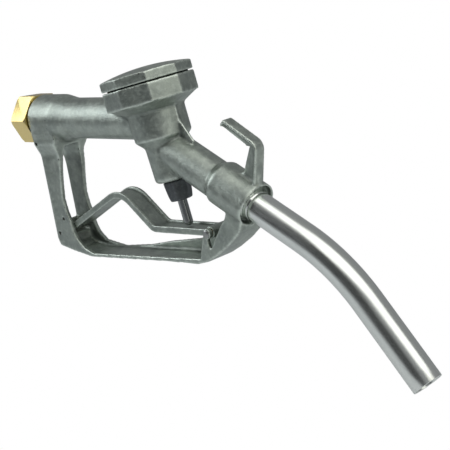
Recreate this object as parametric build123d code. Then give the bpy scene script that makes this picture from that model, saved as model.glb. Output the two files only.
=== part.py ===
"""Manual fuel nozzle with a swivel hose nut, a poppet valve and a hand lever.

Millimetres.  +X runs along the hose inlet toward the spout, +Z is up and the
origin is the centre of the hose inlet face.  The valve axis leans back toward
the inlet, and the outlet barrel and the spout drop away from it.
"""
import os
from math import cos, pi, radians, sin, sqrt, tan

from build123d import *

CUT = 1.0                  # how far a cutting tool runs past the face it cuts

# Layout of the four axes
VALVE_X = 177.0            # valve axis crosses the inlet axis here
VALVE_LEAN = 9.36          # degrees, top leaning toward the inlet
OUTLET_Z = -18.3           # outlet axis crosses the valve axis here
OUTLET_DROP = 26.95        # degrees below the inlet axis
SPOUT_DROP = 51.66         # degrees below the inlet axis, after the bend

# Hose inlet
BODY_REAR_X = 22.5
TUBE_R = 17.6
INLET_BORE_R = 11.4
INLET_BORE_END_X = 162.6
COLLAR_R = 20.9
COLLAR_END_X = 52.0
COLLAR_TAPER_X = 69.0
NUT_FLATS = 41.0
NUT_LEN = 20.9
NUT_CHAMFER = 1.6
NUT_TURN = 5.2             # degrees of the hexagon about the inlet axis
NUT_THREAD_R = 15.15
NUT_THREAD_END_X = 10.0
NUT_RELIEF_R = 15.6
NUT_LIP_X = 16.0
NUT_LIP_R = 13.0
TAIL_FLANGE_R = 14.7
TAIL_FLANGE_X = 12.0
TAIL_FLANGE_T = 3.7
TAIL_R = 12.6
TAIL_BORE_R = 9.6
TAIL_END_X = 40.0
TAIL_RING_X = 30.0
TAIL_RING_R = 0.9
RING_GAP = 0.05
GASKET_T = 2.0
STRAINER_END_X = 78.0
STRAINER_WALL = 0.7
STRAINER_RIM_T = 1.5
STRAINER_FOOT_R = 9.0
STRAINER_TIP_R = 5.0
STRAINER_HOLE_R = 1.1
STRAINER_ROWS = 5
STRAINER_PITCH = 6.0
STRAINER_HOLES_ROUND = 8

# Head, chamber and stem boss, heights along the valve axis
HEAD_SIDES = 9
HEAD_R = 38.6
HEAD_TOP = 30.3
HEAD_BOTTOM = 14.6
FLARE_BOTTOM = 7.7
CHAMBER_R = 23.6
CHAMBER_EDGE = -14.6
BOSS_TOP = -21.0
BOSS_TOP_R = 17.3
BOSS_BOTTOM = -51.0
BOSS_BOTTOM_R = 16.7
BOSS_ROUND = 3.6
HEAD_BORE_R = 26.0
HEAD_BORE_FLOOR = 16.0
CAVITY_R = 19.4
CAVITY_FLOOR = -10.0
WELL_R = 12.0
WELL_FLOOR = -36.0

# Cap and gasket
CAP_GASKET_T = 1.0
CAP_GASKET_R = 33.6
CAP_SIDE_H = 7.4
CAP_DOME_H = 4.4
CAP_R = 38.4
CAP_PLUG_LEN = 9.0
CAP_POCKET_R = 11.5
CAP_RELIEF_R = 22.0
CAP_POCKET_TOP = 36.0

# Valve parts
STEM_R = 3.9
STEM_FOOT = -90.0
STEM_TOP = 9.5
STEM_FOOT_ROUND = 3.6
STEM_SHOULDER_R = 4.8
STEM_SHOULDER_T = 1.5
SEAT_R = 15.6
SEAT_BORE_R = 9.6
SEAT_LIP_R = 11.6
SEAT_FOOT = -15.0
SEAT_TOP = -6.6
SEAL_R = 13.2
SEAL_T = 3.0
DISC_R = 14.8
DISC_RIM = 0.9
DISC_T = 5.2
VALVE_NUT_R = 6.6
VALVE_NUT_T = 5.0
SPRING_R = 9.4
SPRING_WIRE_R = 0.9
SPRING_TURNS = 6.5
SPRING_GAP = 0.1
STEM_FIT = 0.06
STEM_CLEAR = 0.5

# Gland under the stem boss
GUIDE_R = 6.0
GUIDE_TOP = -35.9
GUIDE_END = -41.0
PACK_R = 7.2
PACK_RING_T = 2.0
PACK_RINGS = 3
WASHER_T = 0.8
GLAND_SPIGOT_TOP = -47.8
GLAND_TOP = -51.4
GLAND_BOTTOM = -68.0
GLAND_TOP_R = 11.7
GLAND_BOTTOM_R = 10.0
GLAND_ROUND_TOP_R = 13.1
GLAND_ROUND_BOTTOM_R = 9.0

# Outlet barrel, distances along the outlet axis
BARREL_R = 15.5
BARREL_SAG = 0.9
STEP_START = 67.0
STEP_END = 72.0
SOCKET_R = 18.3
BARREL_END = 108.9
FLOW_R = 10.2
FLOW_START = 13.0
SPOUT_SEAT = 76.0
RECESS_R = 16.7
RECESS_DEPTH = 6.0

# Spout
SPOUT_R = 12.0
SPOUT_WALL = 1.4
SPOUT_FIT = 0.08
SPOUT_CORNER = 194.7
SPOUT_BEND_R = 164.0
SPOUT_TAIL = 107.5
SPOUT_COLLAR_R = 14.5
SPOUT_COLLAR_START = 103.2
SPOUT_COLLAR_END = 110.0
SPOUT_COLLAR_ROUND = 1.8
SEAL_RING_R = 1.3
SEAL_RING_AT = (83.0, 90.0)
SNAP_AT = 97.0
SNAP_R = 0.8
SNAP_DEPTH = 0.5
SNAP_GAP = 3.0
RING_SQUEEZE = 0.4

# Guard
GUARD_HALF = 14.4
CHEEK_HALF = 19.4
GUARD_INNER = 10.4
CHEEK_INNER = 7.5
CHEEK_TAPER_Z = -20.0
CHEEK_WAIST_Z = -31.0
SLOT_TOP_Z = -23.5
SLOT_WAIST = 9.0
SLOT_WAIST_Z = -34.0
SLOT_FLARE_Z = -45.0
GUARD_FOOT_Z = -130.0
GUARD_LEN = 262.0
RIVET_HOLE_R = 1.2
RIVET_HOLES = [(26.1, -19.6), (37.7, -89.2), (27.8, -103.0)]

# Lever
PIVOT_X = 226.5
PIVOT_Z = -89.6
LUG_EYE_R = 4.3
PIN_R = 2.5
PIN_HEAD_R = 3.6
PIN_HEAD_T = 1.2
BUSH_R = 3.4
PIN_FIT = 0.06
LEVER_HALF = 10.1
LEVER_T = 5.5
LEVER_RIB = 2.6
LEVER_WEB = 3.4
LEVER_RECESS = 1.68
HUB_R = 4.9

# Hook on the barrel
HOOK_HALF = 5.2
HOOK_WEB_HALF = 2.2
GUSSET_HALF = 1.5

# Side profiles of the guard, the lever and the hook, as (X, Z)
GUARD_OUTER = [(22.5, -7.0), (22.5, -108.0), (25.5, -114.8), (43.3, -118.4), (68.8, -122.2),
               (176.0, -117.0), (209.5, -116.4), (222.0, -113.5), (235.0, -107.0), (249.0, -98.5),
               (262.0, -88.5), (266.3, -84.2), (271.0, -75.0)]
CHEEK_FRONT = [(52.0, -7.0), (55.0, -15.6), (50.0, -30.0), (47.7, -43.6), (44.6, -57.0),
               (42.2, -71.3), (43.8, -82.3), (46.7, -91.4), (48.2, -100.6), (51.8, -107.8),
               (59.9, -114.6), (71.7, -118.7)]
NEAR_LIP = [(176.7, -113.5), (214.4, -111.4)]
FAR_RIB = [(86.0, -118.2), (123.0, -114.3), (152.0, -108.9), (188.5, -103.8), (214.4, -99.4)]
LUG_LEFT = [(214.9, -109.0), (220.2, -95.0), (223.0, -89.6)]
FAR_LUG_LEFT = [(219.6, -96.6), (223.0, -89.6)]
NOTCH = [(226.0, -93.0), (226.9, -101.4), (229.3, -101.6), (243.0, -83.4), (249.8, -76.4),
         (252.7, -71.4), (256.0, -64.0)]
WEB_REAR_TOP = (22.5, -94.0)
WEB_INNER = [(26.5, -94.0), (26.5, -105.0), (40.0, -105.0), (43.0, -112.0), (50.0, -117.0),
             (62.0, -119.0), (70.0, -119.8), (176.0, -114.8), (209.5, -113.8), (219.5, -110.5),
             (233.2, -103.4), (246.7, -95.2), (259.3, -85.5), (262.8, -81.5), (266.5, -74.0)]
LEVER_TOP = [(43.6, -94.2), (119.4, -57.2), (156.9, -88.9), (226.5, -87.3)]
LEVER_CREST_R = 26.0
LEVER_VALLEY_R = 7.0
HOOK_OUTER = [(278.8, -57.0), (289.0, -18.6), (257.0, 0.2), (252.6, -3.6)]
HOOK_INNER = [(253.8, -5.8), (256.4, -2.5), (286.7, -20.5), (276.2, -56.4)]
HOOK_OUTER_ROUND = 9.0
HOOK_INNER_ROUND = 6.4
HOOK_WEB = [(281.5, -52.0), (286.2, -25.0), (286.0, -20.0), (257.0, -3.2), (253.0, -6.0),
            (275.2, -20.0), (268.0, -40.5), (258.0, -43.0)]
GUSSET = [(197.0, 4.0), (205.0, -4.0), (215.5, -18.6), (208.0, -24.0), (192.0, -14.0)]


def valve_plane(height):
    """Plane across the valve axis at a height above the inlet axis."""
    lean = radians(VALVE_LEAN)
    return Plane(
        origin=(VALVE_X - height * sin(lean), 0, height * cos(lean)),
        x_dir=(cos(lean), 0, sin(lean)),
        z_dir=(-sin(lean), 0, cos(lean)),
    )


def outlet_plane(distance, sag=0.0):
    """Plane across the outlet axis, optionally lowered off that axis."""
    drop = radians(OUTLET_DROP)
    return Plane(
        origin=(
            VALVE_X + distance * cos(drop) - sag * sin(drop),
            0,
            OUTLET_Z - distance * sin(drop) - sag * cos(drop),
        ),
        x_dir=(sin(drop), 0, cos(drop)),
        z_dir=(cos(drop), 0, -sin(drop)),
    )


def inlet_plane(x):
    """Plane across the inlet axis."""
    return Plane(origin=(x, 0, 0), x_dir=(0, 1, 0), z_dir=(1, 0, 0))


def side_plane(y=0.0):
    """Vertical plane along the nozzle; sketches on it use (X, Z)."""
    return Plane(origin=(0, y, 0), x_dir=(1, 0, 0), z_dir=(0, -1, 0))


def disc(plane, radius, length):
    """Cylinder that starts on a plane and runs along its normal."""
    return extrude(plane * Circle(radius), length, dir=plane.z_dir)


def ring(plane, outer, inner, length):
    """Plain ring that starts on a plane."""
    return extrude(plane * (Circle(outer) - Circle(inner)), length, dir=plane.z_dir)


def frustum(plane, start_r, end_r, length):
    """Cone piece between two radii."""
    end = plane.offset(length)
    return loft([plane * Circle(start_r), end * Circle(end_r)])


def slab(points, y_from, y_to):
    """Side profile given in (X, Z), extruded between two widths."""
    face = side_plane(y_from) * make_face(Polyline(*points, close=True))
    return extrude(face, y_to - y_from, dir=(0, 1, 0))


def rounded_slab(points, y_from, y_to, radii):
    """Side profile with some corners rounded, extruded between two widths."""
    face = make_face(Polyline(*points, close=True))
    for index, radius in radii.items():
        x, z = points[index]
        corner = face.vertices().sort_by(lambda v: (v.X - x) ** 2 + (v.Y - z) ** 2)[0]
        face = fillet(corner, radius)
    return extrude(side_plane(y_from) * face, y_to - y_from, dir=(0, 1, 0))


def along_valve(height, radius, length):
    """Cylinder that starts at a height and runs up the valve axis."""
    return disc(valve_plane(height), radius, length)


def along_outlet(distance, radius, length, sag=0.0):
    """Cylinder that runs down the outlet axis."""
    return disc(outlet_plane(distance, sag), radius, length)


def o_ring(plane, ring_r, wire_r):
    """Round-section ring centred on a plane."""
    wire_plane = Plane(
        origin=plane.from_local_coords((ring_r, 0, 0)),
        x_dir=plane.x_dir,
        z_dir=plane.y_dir,
    )
    axis = Axis(plane.origin, plane.z_dir)
    return revolve(wire_plane * Circle(wire_r), axis)


def head_prism(height, radius, length):
    """Nine-sided prism with a corner toward the spout."""
    plane = valve_plane(height)
    return extrude(plane * RegularPolygon(radius, HEAD_SIDES), length, dir=plane.z_dir)


def body_outside():
    """Cast outside of the body, solid."""
    tube = disc(inlet_plane(BODY_REAR_X), TUBE_R, VALVE_X - BODY_REAR_X)
    collar = disc(inlet_plane(BODY_REAR_X), COLLAR_R, COLLAR_END_X - BODY_REAR_X)
    taper = frustum(inlet_plane(COLLAR_END_X), COLLAR_R, TUBE_R, COLLAR_TAPER_X - COLLAR_END_X)
    head = head_prism(HEAD_BOTTOM, HEAD_R, HEAD_TOP - HEAD_BOTTOM)
    head_flats_r = HEAD_R * cos(pi / HEAD_SIDES)
    flare = frustum(valve_plane(FLARE_BOTTOM), CHAMBER_R, head_flats_r, HEAD_BOTTOM - FLARE_BOTTOM)
    chamber = along_valve(CHAMBER_EDGE, CHAMBER_R, FLARE_BOTTOM - CHAMBER_EDGE)
    shoulder = frustum(valve_plane(BOSS_TOP), BOSS_TOP_R, CHAMBER_R, CHAMBER_EDGE - BOSS_TOP)
    boss = frustum(valve_plane(BOSS_BOTTOM), BOSS_BOTTOM_R, BOSS_TOP_R, BOSS_TOP - BOSS_BOTTOM)
    boss = fillet(boss.faces().sort_by(Axis.Z)[0].edges(), BOSS_ROUND)
    barrel = along_outlet(0, BARREL_R, STEP_END, BARREL_SAG)
    step = frustum(outlet_plane(STEP_START), BARREL_R, SOCKET_R, STEP_END - STEP_START)
    socket = along_outlet(STEP_END, SOCKET_R, BARREL_END - STEP_END)
    gusset = slab(GUSSET, -GUSSET_HALF, GUSSET_HALF)
    inlet_side = tube + collar + taper
    tower = head + flare + chamber + shoulder + boss
    outlet_side = barrel + step + socket + gusset
    return inlet_side + tower + outlet_side + hook()


def hook():
    """Hanging hook: a flange bent over a thin web."""
    points = HOOK_OUTER + HOOK_INNER
    rounds = {1: HOOK_OUTER_ROUND, 6: HOOK_INNER_ROUND}
    flange = rounded_slab(points, -HOOK_HALF, HOOK_HALF, rounds)
    return flange + slab(HOOK_WEB, -HOOK_WEB_HALF, HOOK_WEB_HALF)


def body_inside():
    """Flow way and machined bores of the body."""
    thread = disc(inlet_plane(BODY_REAR_X - CUT), TAIL_R, TAIL_END_X - BODY_REAR_X + CUT)
    inlet = disc(inlet_plane(TAIL_END_X - CUT), INLET_BORE_R, INLET_BORE_END_X - TAIL_END_X + CUT)
    head_bore = along_valve(HEAD_BORE_FLOOR, HEAD_BORE_R, HEAD_TOP - HEAD_BORE_FLOOR + CUT)
    cavity = along_valve(CAVITY_FLOOR, CAVITY_R, HEAD_BORE_FLOOR - CAVITY_FLOOR + CUT)
    seat_bore = along_valve(SEAT_FOOT, SEAT_R, CAVITY_FLOOR - SEAT_FOOT + CUT)
    well = along_valve(WELL_FLOOR, WELL_R, SEAT_FOOT - WELL_FLOOR + CUT)
    guide = along_valve(GUIDE_END, GUIDE_R, WELL_FLOOR - GUIDE_END + CUT)
    packing = along_valve(BOSS_BOTTOM - CUT, PACK_R, GUIDE_END - BOSS_BOTTOM + CUT)
    flow = along_outlet(FLOW_START, FLOW_R, SPOUT_SEAT - FLOW_START + CUT)
    socket = along_outlet(SPOUT_SEAT, SPOUT_R + SPOUT_FIT, BARREL_END - SPOUT_SEAT)
    recess = along_outlet(BARREL_END - RECESS_DEPTH, RECESS_R, RECESS_DEPTH + CUT)
    inside = thread + inlet + head_bore + cavity + seat_bore + well + guide + packing + flow + socket + recess
    for distance in SEAL_RING_AT:
        inside += ring_groove(distance, SEAL_RING_R)
    return inside + ring_groove(SNAP_AT, SNAP_R)


def ring_groove(distance, wire_r):
    """Square groove round the spout socket for a round ring."""
    plane = outlet_plane(distance - wire_r)
    return ring(plane, SPOUT_R + 2 * wire_r - RING_SQUEEZE, SPOUT_R - SNAP_DEPTH, 2 * wire_r)


def body_casting(outside):
    """Main casting with the hook."""
    return outside - body_inside()


def lengthwise(half, x_from):
    """Symmetric cross profile given as half of its (Y, Z) points, run along X."""
    points = half + [(-y, z) for y, z in reversed(half)]
    face = inlet_plane(x_from) * make_face(Polyline(*points, close=True))
    return extrude(face, GUARD_LEN, dir=(1, 0, 0))


def guard_section():
    """Outside width of the guard over its whole height."""
    cheek = [(CHEEK_HALF, 0), (CHEEK_HALF, CHEEK_TAPER_Z)]
    wall = [(GUARD_HALF, CHEEK_WAIST_Z), (GUARD_HALF, GUARD_FOOT_Z)]
    return lengthwise(cheek + wall, BODY_REAR_X)


def guard_slot():
    """Gap between the two rear cheeks."""
    half = [(CHEEK_INNER, SLOT_TOP_Z), (SLOT_WAIST, SLOT_WAIST_Z), (GUARD_INNER, SLOT_FLARE_Z)]
    return lengthwise(half + [(GUARD_INNER, GUARD_FOOT_Z)], BODY_REAR_X - CUT)


def guard_wall(y_from, y_to, inner):
    """One side wall of the guard, from the cheek round to the front leg."""
    return slab(GUARD_OUTER + inner[::-1], y_from, y_to)


def eye(y_from, y_to, radius):
    """Round end about the lever pivot."""
    plane = Plane(origin=(PIVOT_X, y_from, PIVOT_Z), x_dir=(1, 0, 0), z_dir=(0, 1, 0))
    return disc(plane, radius, y_to - y_from)


def guard_frame(outside):
    """Hand guard: two cheeks, a floor, a front leg and the pivot lugs."""
    near = guard_wall(-CHEEK_HALF, 0, CHEEK_FRONT + NEAR_LIP + LUG_LEFT + NOTCH)
    far = guard_wall(0, CHEEK_HALF, CHEEK_FRONT[:-1] + FAR_RIB + FAR_LUG_LEFT + NOTCH)
    walls = (near + far) & guard_section()
    walls = walls - guard_slot()
    web = slab(GUARD_OUTER[1:] + WEB_INNER[::-1] + [WEB_REAR_TOP], -GUARD_HALF, GUARD_HALF)
    eyes = eye(-GUARD_HALF, -GUARD_INNER, LUG_EYE_R) + eye(GUARD_INNER, GUARD_HALF, LUG_EYE_R)
    guard = walls + web + eyes
    guard -= eye(-CHEEK_HALF, CHEEK_HALF, PIN_R)
    for x, z in RIVET_HOLES:
        plane = Plane(origin=(x, -CHEEK_HALF - CUT, z), x_dir=(1, 0, 0), z_dir=(0, 1, 0))
        guard -= disc(plane, RIVET_HOLE_R, CHEEK_HALF + CUT)
    return guard - outside - along_outlet(BARREL_END, 2 * SOCKET_R, SOCKET_R)


def cap_dome(height, radius, rise):
    """Low spherical cap of a given rise."""
    sphere_r = (radius * radius + rise * rise) / (2 * rise)
    plane = valve_plane(height + rise - sphere_r)
    return Location(plane.origin) * Sphere(sphere_r)


def valve_cap():
    """Nine-sided screw cap with a spring pocket."""
    under = HEAD_TOP + CAP_GASKET_T
    side = head_prism(under, CAP_R, CAP_SIDE_H + CAP_DOME_H)
    side = side & cap_dome(under + CAP_SIDE_H, CAP_R, CAP_DOME_H)
    foot = HEAD_TOP - CAP_PLUG_LEN
    plug = along_valve(foot, HEAD_BORE_R, under - foot + CUT)
    bore = along_valve(foot - CUT, CAP_POCKET_R, CAP_POCKET_TOP - foot + CUT)
    relief = frustum(valve_plane(foot), CAP_RELIEF_R, CAP_POCKET_R, CAP_PLUG_LEN)
    return side + plug - bore - relief


def cap_gasket():
    """Flat ring between the cap and the head."""
    return ring(valve_plane(HEAD_TOP), CAP_GASKET_R, HEAD_BORE_R, CAP_GASKET_T)


def seat_ring():
    """Brass seat with a raised lip."""
    base = ring(valve_plane(SEAT_FOOT), SEAT_R, SEAT_BORE_R, CAVITY_FLOOR - SEAT_FOOT)
    lip = ring(valve_plane(CAVITY_FLOOR), SEAT_LIP_R, SEAT_BORE_R, SEAT_TOP - CAVITY_FLOOR)
    return base + lip


def valve_stem():
    """Stem with a rounded foot, a neck for the poppet and a top thread."""
    shaft = along_valve(STEM_FOOT, STEM_R, STEM_TOP - STEM_FOOT)
    shaft = fillet(shaft.faces().sort_by(Axis.Z)[0].edges(), STEM_FOOT_ROUND)
    return shaft + along_valve(SEAT_TOP - STEM_SHOULDER_T, STEM_SHOULDER_R, STEM_SHOULDER_T)


def poppet_seal():
    """Rubber facing that closes on the seat."""
    return ring(valve_plane(SEAT_TOP), SEAL_R, STEM_R, SEAL_T)


def poppet_disc():
    """Cup that backs the rubber facing."""
    back = ring(valve_plane(SEAT_TOP + SEAL_T), DISC_R, STEM_R, DISC_T - SEAL_T)
    rim = ring(valve_plane(SEAT_TOP + DISC_RIM), DISC_R, SEAL_R, SEAL_T - DISC_RIM)
    return back + rim


def valve_nut():
    """Hexagon nut that clamps the poppet on the stem."""
    plane = valve_plane(SEAT_TOP + DISC_T)
    face = plane * (RegularPolygon(VALVE_NUT_R, 6) - Circle(STEM_R))
    return extrude(face, VALVE_NUT_T, dir=plane.z_dir)


def main_spring():
    """Closing spring between the poppet and the cap."""
    foot = SEAT_TOP + DISC_T + SPRING_WIRE_R + SPRING_GAP
    height = CAP_POCKET_TOP - SPRING_GAP - SPRING_WIRE_R - foot
    path = Helix(pitch=height / SPRING_TURNS, height=height, radius=SPRING_R)
    start = Plane(origin=path @ 0, z_dir=path % 0)
    coil = sweep(start * Circle(SPRING_WIRE_R), path=path, is_frenet=True)
    return valve_plane(foot) * coil


def stem_guide():
    """Bronze bush that guides the stem."""
    return ring(valve_plane(GUIDE_END), GUIDE_R, STEM_R + STEM_FIT, GUIDE_TOP - GUIDE_END)


def packing_washer():
    """Washer above the packing."""
    return ring(valve_plane(GUIDE_END - WASHER_T), PACK_R, STEM_R + STEM_CLEAR, WASHER_T)


def stem_packing():
    """Packing rings round the stem, as separate solids."""
    rings = []
    for index in range(PACK_RINGS):
        foot = GUIDE_END - WASHER_T - (index + 1) * PACK_RING_T + RING_GAP
        rings.append(ring(valve_plane(foot), PACK_R, STEM_R + STEM_FIT, PACK_RING_T - 2 * RING_GAP))
    return Compound(children=rings)


def gland_nut():
    """Tapered hexagon nut that presses the packing."""
    low = valve_plane(GLAND_BOTTOM)
    high = valve_plane(GLAND_TOP)
    nut = loft([low * RegularPolygon(GLAND_BOTTOM_R, 6), high * RegularPolygon(GLAND_TOP_R, 6)])
    nut &= frustum(low, GLAND_ROUND_BOTTOM_R, GLAND_ROUND_TOP_R, GLAND_TOP - GLAND_BOTTOM)
    spigot = along_valve(GLAND_TOP - CUT, PACK_R, GLAND_SPIGOT_TOP - GLAND_TOP + CUT)
    bore_len = GLAND_SPIGOT_TOP - GLAND_BOTTOM + 2 * CUT
    return nut + spigot - along_valve(GLAND_BOTTOM - CUT, STEM_R + STEM_CLEAR, bore_len)


def spout_path():
    """Centreline of the spout from its seat to the tip."""
    first = radians(OUTLET_DROP)
    second = radians(SPOUT_DROP)
    corner = Vector(VALVE_X + SPOUT_CORNER * cos(first), 0, OUTLET_Z - SPOUT_CORNER * sin(first))
    set_back = SPOUT_BEND_R * tan((second - first) / 2)
    along = Vector(cos(first), 0, -sin(first))
    away = Vector(cos(second), 0, -sin(second))
    start = outlet_plane(SPOUT_SEAT + CUT).origin
    bend_in = corner - along * set_back
    bend_out = corner + away * set_back
    tip = corner + away * SPOUT_TAIL
    run_in = Line(start, bend_in)
    bend = TangentArc(bend_in, bend_out, tangent=along)
    return run_in + bend + Line(bend_out, tip)


def spout_tube():
    """Bent steel spout with grooves for its rings."""
    path = spout_path()
    plane = outlet_plane(SPOUT_SEAT + CUT)
    tube = sweep(plane * Circle(SPOUT_R), path=path)
    tube -= sweep(plane * Circle(SPOUT_R - SPOUT_WALL), path=path)
    groove = ring(outlet_plane(SNAP_AT - SNAP_R), SPOUT_R + CUT, SPOUT_R - SNAP_DEPTH, 2 * SNAP_R)
    return tube - groove


def spout_collar():
    """Polished ring on the spout at the mouth of the barrel."""
    plane = outlet_plane(SPOUT_COLLAR_START)
    collar = ring(plane, SPOUT_COLLAR_R, SPOUT_R, SPOUT_COLLAR_END - SPOUT_COLLAR_START)
    front = collar.faces().sort_by(Axis(plane.origin, plane.z_dir))[-1]
    edge = front.edges().sort_by(SortBy.LENGTH)[-1]
    return fillet(edge, SPOUT_COLLAR_ROUND)


def spout_o_rings():
    """Seal rings round the seated end of the spout."""
    wire_r = SEAL_RING_R - RING_SQUEEZE / 2
    rings = [o_ring(outlet_plane(at), SPOUT_R + wire_r, wire_r) for at in SEAL_RING_AT]
    return Compound(children=rings)


def spout_snap_ring():
    """Split ring that keeps the spout in its socket."""
    plane = outlet_plane(SNAP_AT)
    whole = o_ring(plane, SPOUT_R + SNAP_R - SNAP_DEPTH, SNAP_R - STEM_FIT)
    gap = plane * Location((SPOUT_R, 0, 0)) * Box(SPOUT_R, SNAP_GAP, 4 * SNAP_R)
    return whole - gap


def inlet_tailpiece():
    """Brass tail that screws into the body and carries the swivel nut."""
    flange = ring(inlet_plane(TAIL_FLANGE_X), TAIL_FLANGE_R, TAIL_BORE_R, TAIL_FLANGE_T)
    tail = ring(inlet_plane(TAIL_FLANGE_X), TAIL_R, TAIL_BORE_R, TAIL_END_X - TAIL_FLANGE_X)
    groove_plane = inlet_plane(TAIL_RING_X - TAIL_RING_R)
    groove = ring(groove_plane, TAIL_R + CUT, TAIL_R - 2 * TAIL_RING_R, 2 * TAIL_RING_R)
    return flange + tail - groove


def tailpiece_o_ring():
    """Seal between the tailpiece and the body."""
    return o_ring(inlet_plane(TAIL_RING_X), TAIL_R - TAIL_RING_R, TAIL_RING_R - RING_GAP)


def hose_gasket():
    """Flat gasket that the hose end presses on."""
    return ring(inlet_plane(TAIL_FLANGE_X - GASKET_T), TAIL_FLANGE_R, TAIL_BORE_R, GASKET_T)


def inlet_strainer():
    """Perforated basket behind the tailpiece."""
    length = STRAINER_END_X - TAIL_END_X
    rim = ring(inlet_plane(TAIL_END_X), INLET_BORE_R, STRAINER_FOOT_R - STRAINER_WALL, STRAINER_RIM_T)
    outer = frustum(inlet_plane(TAIL_END_X), STRAINER_FOOT_R, STRAINER_TIP_R, length)
    inner_foot_r = STRAINER_FOOT_R - STRAINER_WALL
    inner_tip_r = STRAINER_TIP_R - STRAINER_WALL
    inner = frustum(inlet_plane(TAIL_END_X - CUT), inner_foot_r, inner_tip_r, length)
    basket = rim + outer - inner
    for row in range(STRAINER_ROWS):
        x = TAIL_END_X + STRAINER_PITCH * (row + 1)
        for turn in range(STRAINER_HOLES_ROUND // 2):
            angle = radians((turn + row / 2) * 360 / STRAINER_HOLES_ROUND)
            across = Plane(origin=(x, 0, 0), x_dir=(1, 0, 0), z_dir=(0, cos(angle), sin(angle)))
            basket -= extrude(across * Circle(STRAINER_HOLE_R), TAIL_R, both=True)
    return basket


def swivel_nut():
    """Hexagon hose nut, captive on the tailpiece."""
    plane = inlet_plane(0)
    radius = NUT_FLATS / sqrt(3)
    hexagon = Rot(0, 0, 90 - NUT_TURN) * RegularPolygon(radius, 6)
    nut = extrude(plane * hexagon, NUT_LEN, dir=plane.z_dir)
    turned = disc(plane, radius, NUT_LEN)
    nut &= chamfer(turned.edges().filter_by(GeomType.CIRCLE), NUT_CHAMFER)
    thread = disc(inlet_plane(-CUT), NUT_THREAD_R, NUT_THREAD_END_X + CUT)
    relief = disc(inlet_plane(NUT_THREAD_END_X), NUT_RELIEF_R, NUT_LIP_X - NUT_THREAD_END_X)
    return nut - thread - relief - disc(inlet_plane(-CUT), NUT_LIP_R, NUT_LEN + 2 * CUT)


def offset_down(points, distance):
    """Lower edge of a bent bar whose upper edge is given."""
    lines = []
    for (x0, z0), (x1, z1) in zip(points, points[1:]):
        length = sqrt((x1 - x0) ** 2 + (z1 - z0) ** 2)
        nx = (z1 - z0) / length
        nz = -(x1 - x0) / length
        lines.append((x0 + nx * distance, z0 + nz * distance, x1 - x0, z1 - z0))
    out = [(lines[0][0], lines[0][1])]
    for (ax, az, adx, adz), (bx, bz, bdx, bdz) in zip(lines, lines[1:]):
        t = ((bx - ax) * bdz - (bz - az) * bdx) / (adx * bdz - adz * bdx)
        out.append((ax + t * adx, az + t * adz))
    last = lines[-1]
    return out + [(last[0] + last[2], last[1] + last[3])]


def bent_bar(upper, thickness, y_from, y_to):
    """Lever bar of even thickness with a round crest and valley."""
    lower = offset_down(upper, thickness)
    points = upper + lower[::-1]
    radii = {
        1: LEVER_CREST_R,
        2: LEVER_VALLEY_R,
        5: LEVER_VALLEY_R + thickness,
        6: LEVER_CREST_R - thickness,
    }
    return rounded_slab(points, y_from, y_to, radii)


def lever():
    """Squeeze lever: a thin web between two ribs, with a pivot hub."""
    near = bent_bar(LEVER_TOP, LEVER_T, -LEVER_HALF, -LEVER_HALF + LEVER_RIB)
    far = bent_bar(LEVER_TOP, LEVER_T, LEVER_HALF - LEVER_RIB, LEVER_HALF)
    web_top = offset_down(LEVER_TOP, LEVER_RECESS)
    web = bent_bar(web_top, LEVER_WEB, -LEVER_HALF, LEVER_HALF)
    hub = eye(-LEVER_HALF, LEVER_HALF, HUB_R)
    return near + far + web + hub - eye(-LEVER_HALF - CUT, LEVER_HALF + CUT, BUSH_R)


def lever_bush():
    """Bronze bush pressed in the lever hub."""
    bore = eye(-LEVER_HALF - CUT, LEVER_HALF + CUT, PIN_R + PIN_FIT)
    return eye(-LEVER_HALF, LEVER_HALF, BUSH_R) - bore


def pivot_pin():
    """Headed pin through both lugs and the lever."""
    shank = eye(-GUARD_HALF, GUARD_HALF + PIN_HEAD_T, PIN_R)
    return shank + eye(-GUARD_HALF - PIN_HEAD_T, -GUARD_HALF, PIN_HEAD_R)


def pin_washer():
    """Push-on ring on the far end of the pivot pin."""
    bore = eye(GUARD_HALF - CUT, GUARD_HALF + PIN_HEAD_T + CUT, PIN_R)
    return eye(GUARD_HALF, GUARD_HALF + PIN_HEAD_T, PIN_HEAD_R) - bore


def main():
    """Write one STEP file for each piece."""
    os.makedirs("parts", exist_ok=True)
    outside = body_outside()
    pieces = {
        "body_casting": body_casting(outside),
        "guard_frame": guard_frame(outside),
        "valve_cap": valve_cap(),
        "cap_gasket": cap_gasket(),
        "seat_ring": seat_ring(),
        "stem_guide": stem_guide(),
        "packing_washer": packing_washer(),
        "stem_packing": stem_packing(),
        "gland_nut": gland_nut(),
        "spout_tube": spout_tube(),
        "spout_collar": spout_collar(),
        "spout_o_rings": spout_o_rings(),
        "spout_snap_ring": spout_snap_ring(),
        "pivot_pin": pivot_pin(),
        "pin_washer": pin_washer(),
        "inlet_tailpiece": inlet_tailpiece(),
        "tailpiece_o_ring": tailpiece_o_ring(),
        "hose_gasket": hose_gasket(),
        "inlet_strainer": inlet_strainer(),
        "swivel_nut": swivel_nut(),
        "lever": lever(),
        "lever_bush": lever_bush(),
        "valve_stem": valve_stem(),
        "poppet_seal": poppet_seal(),
        "poppet_disc": poppet_disc(),
        "valve_nut": valve_nut(),
        "main_spring": main_spring(),
    }
    for name, shape in pieces.items():
        export_step(shape, f"parts/{name}.step")


if __name__ == "__main__":
    main()
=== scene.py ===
import math

import bmesh
import bpy
import numpy as np
from bpy.props import FloatProperty, FloatVectorProperty, IntProperty, PointerProperty
from mathutils import Matrix, Vector


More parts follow.
